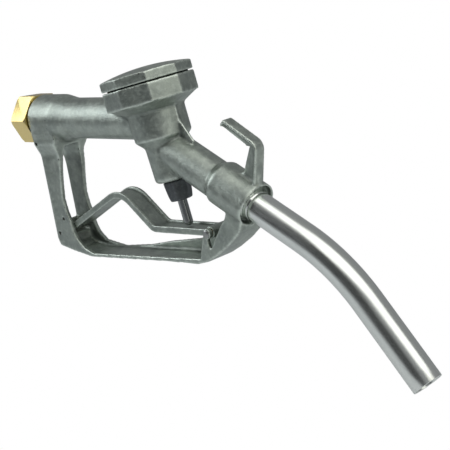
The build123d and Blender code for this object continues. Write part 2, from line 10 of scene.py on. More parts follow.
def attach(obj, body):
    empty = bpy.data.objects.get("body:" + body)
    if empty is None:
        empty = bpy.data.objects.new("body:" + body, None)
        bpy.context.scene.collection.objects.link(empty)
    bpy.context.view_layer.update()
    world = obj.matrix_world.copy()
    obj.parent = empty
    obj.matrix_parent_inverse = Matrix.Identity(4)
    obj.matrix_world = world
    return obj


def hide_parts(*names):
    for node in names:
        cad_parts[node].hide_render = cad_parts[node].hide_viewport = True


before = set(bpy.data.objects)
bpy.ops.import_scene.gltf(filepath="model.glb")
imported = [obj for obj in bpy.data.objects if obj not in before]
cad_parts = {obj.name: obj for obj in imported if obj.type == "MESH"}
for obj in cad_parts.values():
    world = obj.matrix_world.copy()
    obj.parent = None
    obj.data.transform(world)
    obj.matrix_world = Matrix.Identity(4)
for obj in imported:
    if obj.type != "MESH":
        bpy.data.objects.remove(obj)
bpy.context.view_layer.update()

bl_info = {
    "name": "Fuel Nozzle",
    "version": (1, 0, 0),
    "blender": (4, 5, 0),
    "location": "View3D > Sidebar > Nozzle",
    "description": "Cast fuel nozzle with a lever, a swivel hose nut and a bent spout",
    "category": "Object",
}

# Layout, in metres and degrees, as in the CAD frame
VALVE_X = 0.177
VALVE_LEAN = math.radians(9.36)
OUTLET_Z = -0.0183
OUTLET_DROP = math.radians(26.95)
SPOUT_DROP = math.radians(51.66)
HEAD_TOP = 0.0303
CHAMBER_R = 0.0236
PIVOT = Vector((0.2265, 0.0, -0.0896))

# Small holes in the near cheek, as (X, Z)
RIVET_HOLES = ((0.0261, -0.0196), (0.0377, -0.0892), (0.0278, -0.1030))

HOLE_R = 0.0015

# Parting fin, as (height on the valve axis, reach past the chamber)
FIN_OUTLINE = ((0.0085, 0.0), (0.0075, 0.0012), (-0.0125, 0.0012), (-0.0135, -0.004), (0.0085, -0.004))

# Cast shoulders beside the inlet: their ends in X, and their section as (Y, Z)
SHOULDER_ENDS = (0.0225, 0.0515)
SHOULDER_SECTION = ((0.0207, -0.002), (0.0198, -0.014), (0.0180, -0.0225), (0.012, -0.0225), (0.012, 0.0))

# Wedge cut from the rear of the hook's web, as (X, Z)
HOOK_TRIM = ((0.2738, -0.0199), (0.2793, -0.0206), (0.2686, -0.0403), (0.2620, -0.0403))

# Distances along the outlet
RECESS_FLOOR = 0.1027
SPOUT_START = 0.100
SPOUT_CORNER = 0.1947
SPOUT_TAIL = 0.1075
COLLAR_START = 0.1032
COLLAR_LEN = 0.0068

CAMERA_PLACE = (0.957535, -0.642201, 0.155583)
CAMERA_AZIMUTH = math.radians(48.398)
CAMERA_HEIGHT = math.radians(14.014)
CAMERA_ROLL = math.radians(-9.858)
CAMERA_LENS = 101.26

# Overhead panel, and the reach of the side lights
PANEL_PLACE = (1.108, -0.128, 0.93)
PANEL_SIZE = (2.1, 1.23)
PANEL_TURN = math.radians(25)
SIDE_REACH = 1.25
DARK_SIDE = (-0.15, -0.97, 0.12)


def valve_frame(height):
    """Frame on the valve axis: Z runs up the axis and X leans toward the spout."""
    origin = Vector((VALVE_X - height * math.sin(VALVE_LEAN), 0, height * math.cos(VALVE_LEAN)))
    return Matrix.Translation(origin) @ Matrix.Rotation(-VALVE_LEAN, 4, "Y")


def outlet_frame(distance):
    """Frame on the outlet axis: Z runs toward the spout's end."""
    along = Vector((math.cos(OUTLET_DROP), 0, -math.sin(OUTLET_DROP)))
    origin = Vector((VALVE_X, 0, OUTLET_Z)) + along * distance
    return Matrix.Translation(origin) @ Matrix.Rotation(math.pi / 2 + OUTLET_DROP, 4, "Y")


def inlet_frame(x):
    """Frame on the hose inlet's axis: Z runs along +X."""
    return Matrix.Translation((x, 0, 0)) @ Matrix.Rotation(math.pi / 2, 4, "Y")


def cross_frame(point, y):
    """Frame with Z along +Y, for pins."""
    return Matrix.Translation((point.x, y, point.z)) @ Matrix.Rotation(-math.pi / 2, 4, "X")


# ---------------------------------------------------------------- mesh helpers


def add_rod(bm, place, radius, length, steps=64, end_radius=None):
    """Closed cylinder or cone that starts on a frame's origin and runs along its Z."""
    middle = place @ Matrix.Translation((0, 0, length / 2))
    top = radius if end_radius is None else end_radius
    bmesh.ops.create_cone(bm, cap_ends=True, segments=steps, radius1=radius, radius2=top,
                          depth=length, matrix=middle)


def add_slab(bm, outline, y_from, y_to):
    """Flat plate from a side outline in (X, Z), between two widths."""
    verts = [bm.verts.new((x, y_from, z)) for x, z in outline]
    face = bm.faces.new(verts)
    out = bmesh.ops.extrude_face_region(bm, geom=[face])["geom"]
    moved = [g for g in out if isinstance(g, bmesh.types.BMVert)]
    bmesh.ops.translate(bm, verts=moved, vec=(0, y_to - y_from, 0))
    whole = [f for v in verts + moved for f in v.link_faces]
    bmesh.ops.recalc_face_normals(bm, faces=list(set(whole)))


def add_lathe(bm, outline, place, steps=96, closed=False):
    """Turned shape from (radius, height) points about a frame's Z."""
    verts = [bm.verts.new((r, 0, h)) for r, h in outline]
    pairs = list(zip(verts, verts[1:] + ([verts[0]] if closed else [])))
    edges = [bm.edges.new(pair) for pair in pairs]
    bmesh.ops.spin(bm, geom=verts + edges, cent=(0, 0, 0), axis=(0, 0, 1), dvec=(0, 0, 0),
                   angle=2 * math.pi, steps=steps, use_merge=True, use_duplicate=False)
    bmesh.ops.remove_doubles(bm, verts=bm.verts, dist=1e-7)
    bmesh.ops.recalc_face_normals(bm, faces=bm.faces)
    bmesh.ops.transform(bm, matrix=place, verts=bm.verts)


def rounded(outline, radius, steps=5):
    """Outline with each inner corner turned into a small arc."""
    out = [outline[0]]
    for before, corner, after in zip(outline, outline[1:], outline[2:]):
        corner = Vector(corner)
        leg_in = Vector(before) - corner
        leg_out = Vector(after) - corner
        turn = leg_in.angle(leg_out)
        reach = min(radius / math.tan(turn / 2), 0.45 * leg_in.length, 0.45 * leg_out.length)
        start = corner + leg_in.normalized() * reach
        end = corner + leg_out.normalized() * reach
        for i in range(steps + 1):
            t = i / steps
            point = start * (1 - t) ** 2 + corner * 2 * t * (1 - t) + end * t ** 2
            out.append((point.x, point.y))
    return out + [outline[-1]]


def link_piece(name, bm):
    """New object from a bmesh."""
    mesh = bpy.data.meshes.new(name)
    bm.to_mesh(mesh)
    bm.free()
    piece = bpy.data.objects.new(name, mesh)
    bpy.context.collection.objects.link(piece)
    return piece


def settle(piece):
    """Make a piece's modifiers part of its mesh."""
    graph = bpy.context.evaluated_depsgraph_get()
    before = piece.data
    mesh = bpy.data.meshes.new_from_object(piece.evaluated_get(graph))
    piece.modifiers.clear()
    piece.data = mesh
    mesh.name = piece.name
    bpy.data.meshes.remove(before)


def cut_with(piece, bm, operation="DIFFERENCE"):
    """Boolean of a piece with another closed shape."""
    tool = link_piece(piece.name + "_tool", bm)
    step = piece.modifiers.new("cut", "BOOLEAN")
    step.operation = operation
    step.solver = "EXACT"
    step.object = tool
    settle(piece)
    mesh = tool.data
    bpy.data.objects.remove(tool)
    bpy.data.meshes.remove(mesh)


def ease_edges(piece, width, segments=2, angle=28.0):
    """Round a machined piece's sharp edges."""
    step = piece.modifiers.new("ease", "BEVEL")
    step.width = width
    step.segments = segments
    step.limit_method = "ANGLE"
    step.angle_limit = math.radians(angle)
    step.harden_normals = False
    settle(piece)


def smooth_shaded(mesh, angle=40.0):
    """Smooth shading that keeps edges sharper than an angle."""
    mesh.shade_smooth()
    mesh.set_sharp_from_angle(angle=math.radians(angle))


def place_piece(piece, material, body, nodes, angle=40.0):
    """Give a finished piece its material and its place in the frame."""
    piece.data.materials.clear()
    piece.data.materials.append(material)
    smooth_shaded(piece.data, angle)
    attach(piece, body)
    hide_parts(*nodes)


def read_points(mesh):
    """Positions, normals and edge ends as arrays."""
    count = len(mesh.vertices)
    points = np.empty(count * 3, np.float32)
    mesh.vertices.foreach_get("co", points)
    normals = np.empty(count * 3, np.float32)
    mesh.vertices.foreach_get("normal", normals)
    ends = np.empty(len(mesh.edges) * 2, np.int32)
    mesh.edges.foreach_get("vertices", ends)
    return points.reshape(-1, 3).astype(float), normals.reshape(-1, 3), ends.reshape(-1, 2)


def around(values, ends):
    """Mean of each vertex's neighbours."""
    a, b = ends[:, 0], ends[:, 1]
    count = len(values)
    share = np.bincount(a, minlength=count) + np.bincount(b, minlength=count)
    columns = values.reshape(count, -1)
    out = [
        np.bincount(a, columns[b, i], count) + np.bincount(b, columns[a, i], count)
        for i in range(columns.shape[1])
    ]
    return (np.stack(out, 1) / np.maximum(share, 1)[:, None]).reshape(values.shape)


def bulge(points, normals, ends):
    """Height of each vertex over its neighbours, in edge lengths."""
    step = np.linalg.norm(points[ends[:, 0]] - points[ends[:, 1]], axis=1).mean()
    return ((points - around(points, ends)) * normals).sum(1) / step


def relax(mesh, passes, where=None):
    """Ease a dense mesh, all over or by a weight for each vertex."""
    points, _, ends = read_points(mesh)
    weight = 0.5 if where is None else 0.5 * where[:, None]
    for _ in range(passes):
        points += weight * (around(points, ends) - points)
    mesh.vertices.foreach_set("co", points.astype(np.float32).ravel())
    mesh.update()


def valleys(mesh, width):
    """Weight of one in hollow corners, fading over a few edges."""
    points, normals, ends = read_points(mesh)
    weight = np.clip(-bulge(points, normals, ends) * 9.0 - 0.25, 0, 1)
    for _ in range(width):
        weight = np.maximum(weight * 0.97, around(weight, ends) * 1.02)
    return np.clip(weight, 0, 1)


def mark_edges_and_hollows(mesh, passes=2, gain=13.0):
    """Store how proud or hollow each vertex is, for the materials: proud edges get wear with a painted
    highlight, hollows get painted shade.
    """
    points, normals, ends = read_points(mesh)
    shape = bulge(points, normals, ends)
    for _ in range(passes):
        shape = 0.5 * shape + 0.5 * around(shape, ends)
    marks = {"edge_wear_and_highlight": shape, "hollow": -shape}
    for name, values in marks.items():
        layer = mesh.attributes.new(name, "FLOAT", "POINT")
        layer.data.foreach_set("value", np.clip(values * gain, 0, 1).astype(np.float32))


def cad_copy(bm, *nodes):
    """Add a merged copy of some CAD nodes to a bmesh."""
    for node in nodes:
        bm.from_mesh(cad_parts[node].data)
    bmesh.ops.remove_doubles(bm, verts=bm.verts, dist=1e-6)


def as_casting(piece, voxel, edge_passes, fillet_passes, fillet_width, most=190000):
    """Fuse a piece's parts into one skin with rounded edges and filled corners."""
    step = piece.modifiers.new("fuse", "REMESH")
    step.mode = "VOXEL"
    step.voxel_size = voxel
    settle(piece)
    relax(piece.data, edge_passes)
    if fillet_passes:
        relax(piece.data, fillet_passes, valleys(piece.data, fillet_width))
    mark_edges_and_hollows(piece.data)
    triangles = 2 * len(piece.data.polygons)
    if triangles > most:
        step = piece.modifiers.new("thin", "DECIMATE")
        step.ratio = most / triangles
        settle(piece)


# ------------------------------------------------------------------- materials


def socket(group, name, kind, default=None, output=False):
    """Named socket of a node group."""
    made = group.interface.new_socket(
        name=name, in_out="OUTPUT" if output else "INPUT", socket_type=f"NodeSocket{kind}"
    )
    if default is not None:
        made.default_value = default


def add_node(tree, kind, **values):
    """Shader node with its settings and input values."""
    node = tree.nodes.new("ShaderNode" + kind)
    for name, value in values.items():
        if hasattr(node, name):
            setattr(node, name, value)
        else:
            node.inputs[name.replace("_", " ")].default_value = value
    return node


def noise(tree, vector, scale, detail=4.0, rough=0.55):
    """Noise texture whose scale is a number or a socket."""
    node = add_node(tree, "TexNoise", Detail=detail, Roughness=rough)
    tree.links.new(vector, node.inputs["Vector"])
    if isinstance(scale, float):
        node.inputs["Scale"].default_value = scale
    else:
        tree.links.new(scale, node.inputs["Scale"])
    return node.outputs["Fac"]


def fit(tree, value, low, high, to_low=0.0, to_high=1.0):
    """Value mapped from one range to another, clamped."""
    node = add_node(tree, "MapRange")
    tree.links.new(value, node.inputs["Value"])
    for name, number in zip(("From Min", "From Max", "To Min", "To Max"), (low, high, to_low, to_high)):
        node.inputs[name].default_value = number
    return node.outputs["Result"]


def math_node(tree, operation, first, second):
    """Math node on two values or sockets."""
    node = add_node(tree, "Math", operation=operation)
    for entry, value in zip(node.inputs, (first, second)):
        if isinstance(value, (int, float)):
            entry.default_value = value
        else:
            tree.links.new(value, entry)
    return node.outputs[0]


def mix(tree, share, first, second, blend="MIX"):
    """Colour mix of two sockets or colours."""
    node = tree.nodes.new("ShaderNodeMix")
    node.data_type = "RGBA"
    node.blend_type = blend
    for index, value in ((0, share), (6, first), (7, second)):
        if isinstance(value, (int, float, tuple)):
            node.inputs[index].default_value = value
        else:
            tree.links.new(value, node.inputs[index])
    return node.outputs[2]


def begin_group(name, inputs, outputs):
    """Empty node group with its sockets."""
    group = bpy.data.node_groups.new(name, "ShaderNodeTree")
    for entry in inputs:
        socket(group, *entry)
    for entry in outputs:
        socket(group, *entry, output=True)
    return group, group.nodes.new("NodeGroupInput").outputs, group.nodes.new("NodeGroupOutput").inputs


def cast_skin_group():
    """Shot-blasted casting: cloudy tone, sandy grain, worn edges with a painted highlight, painted shade in
    hollows.
    """
    if "cast_skin" in bpy.data.node_groups:
        return bpy.data.node_groups["cast_skin"]
    group, given, made = begin_group(
        "cast_skin",
        [("Vector", "Vector"), ("Metal", "Color"), ("Shade", "Color"), ("Worn", "Color"),
         ("Cloud Scale", "Float", 60.0), ("Grain Scale", "Float", 1400.0),
         ("Edge", "Float", 0.0), ("Hollow", "Float", 0.0),
         ("Rough Low", "Float", 0.36), ("Rough High", "Float", 0.52)],
        [("Color", "Color"), ("Roughness", "Float"), ("Height", "Float")],
    )
    vector = given["Vector"]
    cloud = noise(group, vector, given["Cloud Scale"], 5.0, 0.6)
    patch = noise(group, vector, math_node(group, "MULTIPLY", given["Cloud Scale"], 4.3), 3.0, 0.6)
    grain = noise(group, vector, given["Grain Scale"], 2.0, 0.5)
    tone = fit(group, cloud, 0.30, 0.62)
    colour = mix(group, tone, given["Shade"], given["Metal"])
    spots = math_node(group, "MULTIPLY", fit(group, patch, 0.48, 0.72), 0.42)
    colour = mix(group, spots, colour, given["Worn"])
    stain = noise(group, vector, math_node(group, "MULTIPLY", given["Cloud Scale"], 1.9), 6.0, 0.7)
    murk = math_node(group, "MULTIPLY", fit(group, stain, 0.50, 0.74), 0.42)
    colour = mix(group, murk, colour, mix(group, 1.0, given["Shade"], (0.7, 0.72, 0.66, 1), "MULTIPLY"))
    pits = math_node(group, "MULTIPLY", fit(group, grain, 0.44, 0.28), 0.65)
    colour = mix(group, pits, colour, given["Shade"])
    # Worn edges: real wear plus a painted highlight along convex edges
    wear_and_highlight_mask = math_node(group, "MULTIPLY", given["Edge"], fit(group, patch, 0.3, 0.6, 0.35, 1.0))
    colour = mix(group, wear_and_highlight_mask, colour, given["Worn"])
    # Painted shade: hollows, the slot and the drilled holes are darkened toward a near-black shade colour
    painted_shade_colour = mix(group, 1.0, given["Shade"], (0.17, 0.16, 0.15, 1), "MULTIPLY")
    painted_crease_shade = math_node(group, "MULTIPLY", given["Hollow"], fit(group, cloud, 0.3, 0.6, 0.85, 0.5))
    colour = mix(group, painted_crease_shade, colour, painted_shade_colour)
    group.links.new(colour, made["Color"])
    span = add_node(group, "MapRange")
    group.links.new(patch, span.inputs["Value"])
    span.inputs["From Min"].default_value = 0.3
    span.inputs["From Max"].default_value = 0.7
    group.links.new(given["Rough Low"], span.inputs["To Min"])
    group.links.new(given["Rough High"], span.inputs["To Max"])
    rough = math_node(group, "SUBTRACT", span.outputs["Result"], math_node(group, "MULTIPLY", wear_and_highlight_mask, 0.1))
    rough = math_node(group, "ADD", rough, math_node(group, "MULTIPLY", painted_crease_shade, 0.15))
    group.links.new(rough, made["Roughness"])
    height = math_node(group, "ADD", math_node(group, "MULTIPLY", grain, 0.6),
                       math_node(group, "MULTIPLY", patch, 0.7))
    group.links.new(height, made["Height"])
    return group


def turned_skin_group():
    """Machined or polished metal: fine lines along one direction, smears and specks."""
    if "turned_skin" in bpy.data.node_groups:
        return bpy.data.node_groups["turned_skin"]
    group, given, made = begin_group(
        "turned_skin",
        [("Vector", "Vector"), ("Smear Vector", "Vector"), ("Metal", "Color"), ("Tarnish", "Color"),
         ("Line Scale", "Float", 900.0), ("Smear Scale", "Float", 40.0), ("Tarnish Amount", "Float", 0.3),
         ("Edge", "Float", 0.0), ("Rough Low", "Float", 0.12), ("Rough High", "Float", 0.24)],
        [("Color", "Color"), ("Roughness", "Float"), ("Height", "Float")],
    )
    lines = noise(group, given["Vector"], given["Line Scale"], 3.0, 0.6)
    smear = noise(group, given["Smear Vector"], given["Smear Scale"], 5.0, 0.6)
    stain = math_node(group, "MULTIPLY", fit(group, smear, 0.45, 0.75), given["Tarnish Amount"])
    colour = mix(group, stain, given["Metal"], given["Tarnish"])
    faint = math_node(group, "MULTIPLY", fit(group, lines, 0.35, 0.65), 0.12)
    colour = mix(group, faint, colour, given["Tarnish"])
    # Painted highlight: edges in the edge attribute are lightened
    bright = mix(group, 1.0, given["Metal"], (1.08, 1.08, 1.08, 1), "MULTIPLY")
    colour = mix(group, math_node(group, "MULTIPLY", given["Edge"], 0.6), colour, bright)
    group.links.new(colour, made["Color"])
    both = math_node(group, "ADD", math_node(group, "MULTIPLY", lines, 0.5),
                     math_node(group, "MULTIPLY", smear, 0.5))
    span = add_node(group, "MapRange")
    group.links.new(both, span.inputs["Value"])
    span.inputs["From Min"].default_value = 0.35
    span.inputs["From Max"].default_value = 0.65
    group.links.new(given["Rough Low"], span.inputs["To Min"])
    group.links.new(given["Rough High"], span.inputs["To Max"])
    group.links.new(span.outputs["Result"], made["Roughness"])
    group.links.new(lines, made["Height"])
    return group


def finish_material(name, group, values, metallic, bump, distance, stretch=(1, 1, 1), turn=(0, 0, 0),
                    uv=False, coat=0.0, specular=None):
    """Material that places a skin group in a Principled shader."""
    material = bpy.data.materials.new(name)
    material.use_nodes = True
    tree = material.node_tree
    shader = tree.nodes["Principled BSDF"]
    shader.inputs["Metallic"].default_value = metallic
    shader.inputs["Coat Weight"].default_value = coat
    if specular is not None:
        shader.inputs["Specular IOR Level"].default_value = specular
    coordinates = add_node(tree, "TexCoord")
    skin = tree.nodes.new("ShaderNodeGroup")
    skin.node_tree = group
    mapping = add_node(tree, "Mapping")
    mapping.inputs["Scale"].default_value = stretch
    mapping.inputs["Rotation"].default_value = turn
    tree.links.new(coordinates.outputs["UV" if uv else "Object"], mapping.inputs["Vector"])
    tree.links.new(mapping.outputs["Vector"], skin.inputs["Vector"])
    if "Smear Vector" in skin.inputs:
        tree.links.new(coordinates.outputs["Object"], skin.inputs["Smear Vector"])
    # Edge wear with a painted highlight, and painted shade in hollows, from the mesh's own attributes
    for mark, entry in (("edge_wear_and_highlight", "Edge"), ("hollow", "Hollow")):
        if entry in skin.inputs:
            layer = add_node(tree, "Attribute", attribute_name=mark)
            tree.links.new(layer.outputs["Fac"], skin.inputs[entry])
    for entry, value in values.items():
        skin.inputs[entry].default_value = tuple(value) + (1.0,) if hasattr(value, "__len__") else value
    tree.links.new(skin.outputs["Color"], shader.inputs["Base Color"])
    tree.links.new(skin.outputs["Roughness"], shader.inputs["Roughness"])
    relief = add_node(tree, "Bump", Strength=bump, Distance=distance)
    tree.links.new(skin.outputs["Height"], relief.inputs["Height"])
    tree.links.new(relief.outputs["Normal"], shader.inputs["Normal"])
    return material


def cast_material(name="cast_aluminium", brightness=1.0, cloud=60.0, rough=(0.28, 0.46)):
    """Grey-green blasted aluminium."""
    look = bpy.context.scene.nozzle_casting
    values = {
        "Metal": [c * brightness for c in look.metal],
        "Shade": [c * brightness for c in look.shade],
        "Worn": [c * brightness for c in look.wear_and_highlight],
        "Cloud Scale": cloud,
        "Grain Scale": look.grain,
        "Rough Low": rough[0],
        "Rough High": rough[1],
    }
    return finish_material(name, cast_skin_group(), values, 0.92, 1.0, 0.00035)


def turned_material(name, metal, tarnish, rough, lines=900.0, stretch=(1, 1, 1), turn=(0, 0, 0), uv=False,
                    amount=0.3, smear=40.0, metallic=1.0, bump=0.1):
    """Machined metal with lines along the direction left short by the stretch."""
    values = {
        "Metal": metal,
        "Tarnish": tarnish,
        "Line Scale": lines,
        "Smear Scale": smear,
        "Tarnish Amount": amount,
        "Rough Low": rough[0],
        "Rough High": rough[1],
    }
    return finish_material(name, turned_skin_group(), values, metallic, bump, 0.00005, stretch, turn, uv)


# -------------------------------------------------------------------- settings


class NOZZLE_PG_casting(bpy.types.PropertyGroup):
    """Sizes and colours of the cast pieces."""

    voxel: FloatProperty(name="Skin Cell", description="Cell size of the fused casting skin",
                         default=0.0008, min=0.0004, unit="LENGTH", precision=4)
    edge_passes: IntProperty(name="Edge Softness", description="Easing passes over the whole casting",
                             default=5)
    fillet_passes: IntProperty(name="Fillet Depth", description="Easing passes in hollow corners",
                               default=40)
    fillet_width: IntProperty(name="Fillet Width", description="How far fillets reach, in cells", default=5)
    grain: FloatProperty(name="Grain Scale", description="Fineness of the blasted grain", default=1300.0)
    metal: FloatVectorProperty(name="Metal", description="Main casting colour", subtype="COLOR",
                               default=(0.44, 0.485, 0.435))
    shade: FloatVectorProperty(name="Shade", description="Darker cloudy areas", subtype="COLOR",
                               default=(0.30, 0.335, 0.31))
    # Colour for rubbed edges, partly a painted highlight, and for bright spots
    wear_and_highlight: FloatVectorProperty(name="Worn", description="Rubbed edges and bright spots", subtype="COLOR",
                              default=(0.70, 0.76, 0.69))


class NOZZLE_PG_spout(bpy.types.PropertyGroup):
    """Sizes and colours of the spout and its collar."""

    radius: FloatProperty(name="Radius", description="Outside radius of the tube", default=0.012,
                          unit="LENGTH")
    wall: FloatProperty(name="Wall", description="Thickness of the tube", default=0.0014, unit="LENGTH")
    bend: FloatProperty(name="Bend Radius", description="Radius of the tube's centreline in its bend",
                        default=0.164, unit="LENGTH")
    metal: FloatVectorProperty(name="Metal", description="Polished tube colour", subtype="COLOR",
                               default=(0.88, 0.90, 0.87))
    tarnish: FloatVectorProperty(name="Tarnish", description="Duller smears", subtype="COLOR",
                                 default=(0.62, 0.645, 0.62))


class NOZZLE_PG_nut(bpy.types.PropertyGroup):
    """Sizes and colours of the hose nut."""

    flats: FloatProperty(name="Across Flats", description="Width of the hexagon", default=0.041,
                         unit="LENGTH")
    length: FloatProperty(name="Length", description="Length of the nut", default=0.0209, unit="LENGTH")
    chamfer: FloatProperty(name="Chamfer", description="Turned chamfer on both ends", default=0.0016,
                           unit="LENGTH")
    turn: FloatProperty(name="Turn", description="Rest angle of the hexagon", default=math.radians(5.2),
                        subtype="ANGLE")
    pitch: FloatProperty(name="Thread Pitch", description="Pitch of the hose thread", default=0.0023,
                         unit="LENGTH")
    metal: FloatVectorProperty(name="Brass", description="Polished brass colour", subtype="COLOR",
                               default=(0.95, 0.76, 0.33))
    tarnish: FloatVectorProperty(name="Tarnish", description="Darker brass", subtype="COLOR",
                                 default=(0.80, 0.58, 0.18))


class NOZZLE_PG_stage(bpy.types.PropertyGroup):
    """Light and floor."""

    drop: FloatProperty(name="Floor Drop", description="Floor height below the origin", default=0.3,
                        unit="LENGTH")
    overhead: FloatProperty(name="Overhead Light", description="Power of the overhead panel", default=8.9,
                            unit="POWER")
    left: FloatProperty(name="Left Light", description="Power of the light on the left", default=4.5,
                        unit="POWER")
    right: FloatProperty(name="Right Light", description="Power of the light on the right", default=1.4,
                         unit="POWER")
    room: FloatProperty(name="Room Light", description="Strength of the even room light", default=0.25)
    shadow: FloatProperty(name="Dark Side", description="Strength of the room light from the front",
                          default=0.05)


# ------------------------------------------------------------------- operators


class NOZZLE_OT_body(bpy.types.Operator):
    """Cast body with its hand guard and hook, fused in one skin"""

    bl_idname = "nozzle.body"
    bl_label = "Body Casting"

    def execute(self, context):
        """Fuse the body and guard, close the inner bores and add the parting fin."""
        look = context.scene.nozzle_casting
        bm = bmesh.new()
        cad_copy(bm, "body_casting", "guard_frame")
        add_rod(bm, valve_frame(0.0155), 0.027, HEAD_TOP - 0.0155 - 0.0002)
        add_rod(bm, valve_frame(-0.0505), 0.0085, 0.012)
        add_rod(bm, inlet_frame(0.0785), 0.014, 0.008)
        add_rod(bm, outlet_frame(RECESS_FLOOR - 0.008), 0.0145, 0.008)
        self.add_fin(bm)
        self.add_shoulders(bm)
        piece = link_piece("cast_body", bm)
        as_casting(piece, look.voxel, look.edge_passes, look.fillet_passes, look.fillet_width)
        relax(piece.data, 40, self.side_weight(piece.data))
        self.drill(piece)
        self.trim_hook(piece)
        self.paint_slot_shade(piece.data)
        place_piece(piece, cast_material(), "nozzle", ["body_casting", "guard_frame"], 80)
        return {"FINISHED"}

    def add_fin(self, bm):
        """Thin parting fin down the front of the chamber."""
        outline = []
        for height, reach in FIN_OUTLINE:
            point = valve_frame(height) @ Vector((CHAMBER_R + reach, 0, 0))
            outline.append((point.x, point.z))
        add_slab(bm, outline, -0.0008, 0.0008)

    def add_shoulders(self, bm):
        """Cast metal that carries the collar's sides down into the cheeks."""
        for side in (-1, 1):
            corners = [(x, side * y, z) for x in SHOULDER_ENDS for y, z in SHOULDER_SECTION]
            verts = [bm.verts.new(c) for c in corners]
            hull = bmesh.ops.convex_hull(bm, input=verts)
            bmesh.ops.delete(bm, geom=hull["geom_interior"] + hull["geom_unused"], context="VERTS")

    def side_weight(self, mesh):
        """Weight of one on the outer sides where the collar turns into the cheeks."""
        points, normals, _ = read_points(mesh)
        high = np.clip((points[:, 2] + 0.040) / 0.006, 0, 1) * np.clip((0.006 - points[:, 2]) / 0.006, 0, 1)
        near = np.clip((0.058 - points[:, 0]) / 0.006, 0, 1)
        flat = np.clip((np.abs(normals[:, 1]) - 0.8) / 0.15, 0, 1)
        return high * near * flat

    def drill(self, piece):
        """Three small holes in the near cheek."""
        bm = bmesh.new()
        for x, z in RIVET_HOLES:
            add_rod(bm, cross_frame(Vector((x, 0, z)), -0.025), HOLE_R, 0.0135, 20)
        cut_with(piece, bm)

    def trim_hook(self, piece):
        """Slope the rear edge of the hook's web."""
        bm = bmesh.new()
        add_slab(bm, HOOK_TRIM, -0.006, 0.006)
        cut_with(piece, bm)

    def paint_slot_shade(self, mesh):
        """Painted shade in the slot between the cheeks, and painted shadow in the drilled holes."""
        points, normals, _ = read_points(mesh)
        hollow = np.empty(len(points), np.float32)
        layer = mesh.attributes["hollow"]
        layer.data.foreach_get("value", hollow)
        x, y, z = points.T
        # Painted shade: darker deep in the slot between the cheeks, less on faces turned sideways or
        # forward
        slot = np.clip((0.0135 - np.abs(y)) / 0.002, 0, 1) * np.clip((0.066 - x) / 0.010, 0, 1)
        slot *= np.clip((-0.030 - z) / 0.010, 0, 1) * np.clip((z + 0.1165) / 0.004, 0, 1)
        slot *= np.clip(1.0 - np.abs(normals[:, 1]) * 0.4 - np.maximum(normals[:, 0], 0) * 0.3, 0, 1)
        hollow = np.maximum(hollow, slot * 0.9)
        # Painted shadow: the drilled holes are made fully dark
        for hole_x, hole_z in RIVET_HOLES:
            away = np.hypot(x - hole_x, z - hole_z)
            hollow[(away < 0.00165) & (y < -0.009)] = 1.0
        layer.data.foreach_set("value", hollow.astype(np.float32))


class NOZZLE_OT_cap(bpy.types.Operator):
    """Nine-sided screw cap with its low dome"""

    bl_idname = "nozzle.cap"
    bl_label = "Valve Cap"

    def execute(self, context):
        """Fill the spring pocket and ease the cap's corners."""
        bm = bmesh.new()
        cad_copy(bm, "valve_cap")
        add_rod(bm, valve_frame(0.0225), 0.0235, 0.016)
        piece = link_piece("cast_cap", bm)
        as_casting(piece, 0.0006, 4, 0, 0)
        aluminium = cast_material("cap_aluminium", 1.06, 70.0)
        place_piece(piece, aluminium, "nozzle", ["valve_cap"], 80)
        return {"FINISHED"}


class NOZZLE_OT_lever(bpy.types.Operator):
    """Squeeze lever with its ribs and hub"""

    bl_idname = "nozzle.lever"
    bl_label = "Lever"

    def execute(self, context):
        """Ease the lever's ribs and close its recess with a slope at the hub."""
        bm = bmesh.new()
        cad_copy(bm, "lever")
        slope = [(0.2085, -0.0905), (0.2205, -0.0872), (0.2245, -0.0872), (0.2245, -0.0915)]
        add_slab(bm, slope, -0.0085, 0.0085)
        piece = link_piece("cast_lever", bm)
        as_casting(piece, 0.0005, 3, 10, 2)
        place_piece(piece, cast_material("lever_aluminium", 0.95, 80.0), "lever", ["lever"], 80)
        return {"FINISHED"}


class NOZZLE_OT_gland(bpy.types.Operator):
    """Black tapered gland nut under the stem boss"""

    bl_idname = "nozzle.gland"
    bl_label = "Gland Nut"

    def execute(self, context):
        """Ease the gland nut's soft hexagon."""
        bm = bmesh.new()
        cad_copy(bm, "gland_nut")
        piece = link_piece("gland", bm)
        as_casting(piece, 0.00035, 24, 0, 0)
        values = {
            "Metal": (0.105, 0.115, 0.12),
            "Shade": (0.075, 0.082, 0.086),
            "Worn": (0.2, 0.21, 0.22),
            "Cloud Scale": 120.0,
            "Grain Scale": 1800.0,
            "Rough Low": 0.38,
            "Rough High": 0.5,
        }
        black = finish_material("black_gland", cast_skin_group(), values, 0.85, 0.25, 0.0001)
        place_piece(piece, black, "nozzle", ["gland_nut"], 80)
        return {"FINISHED"}


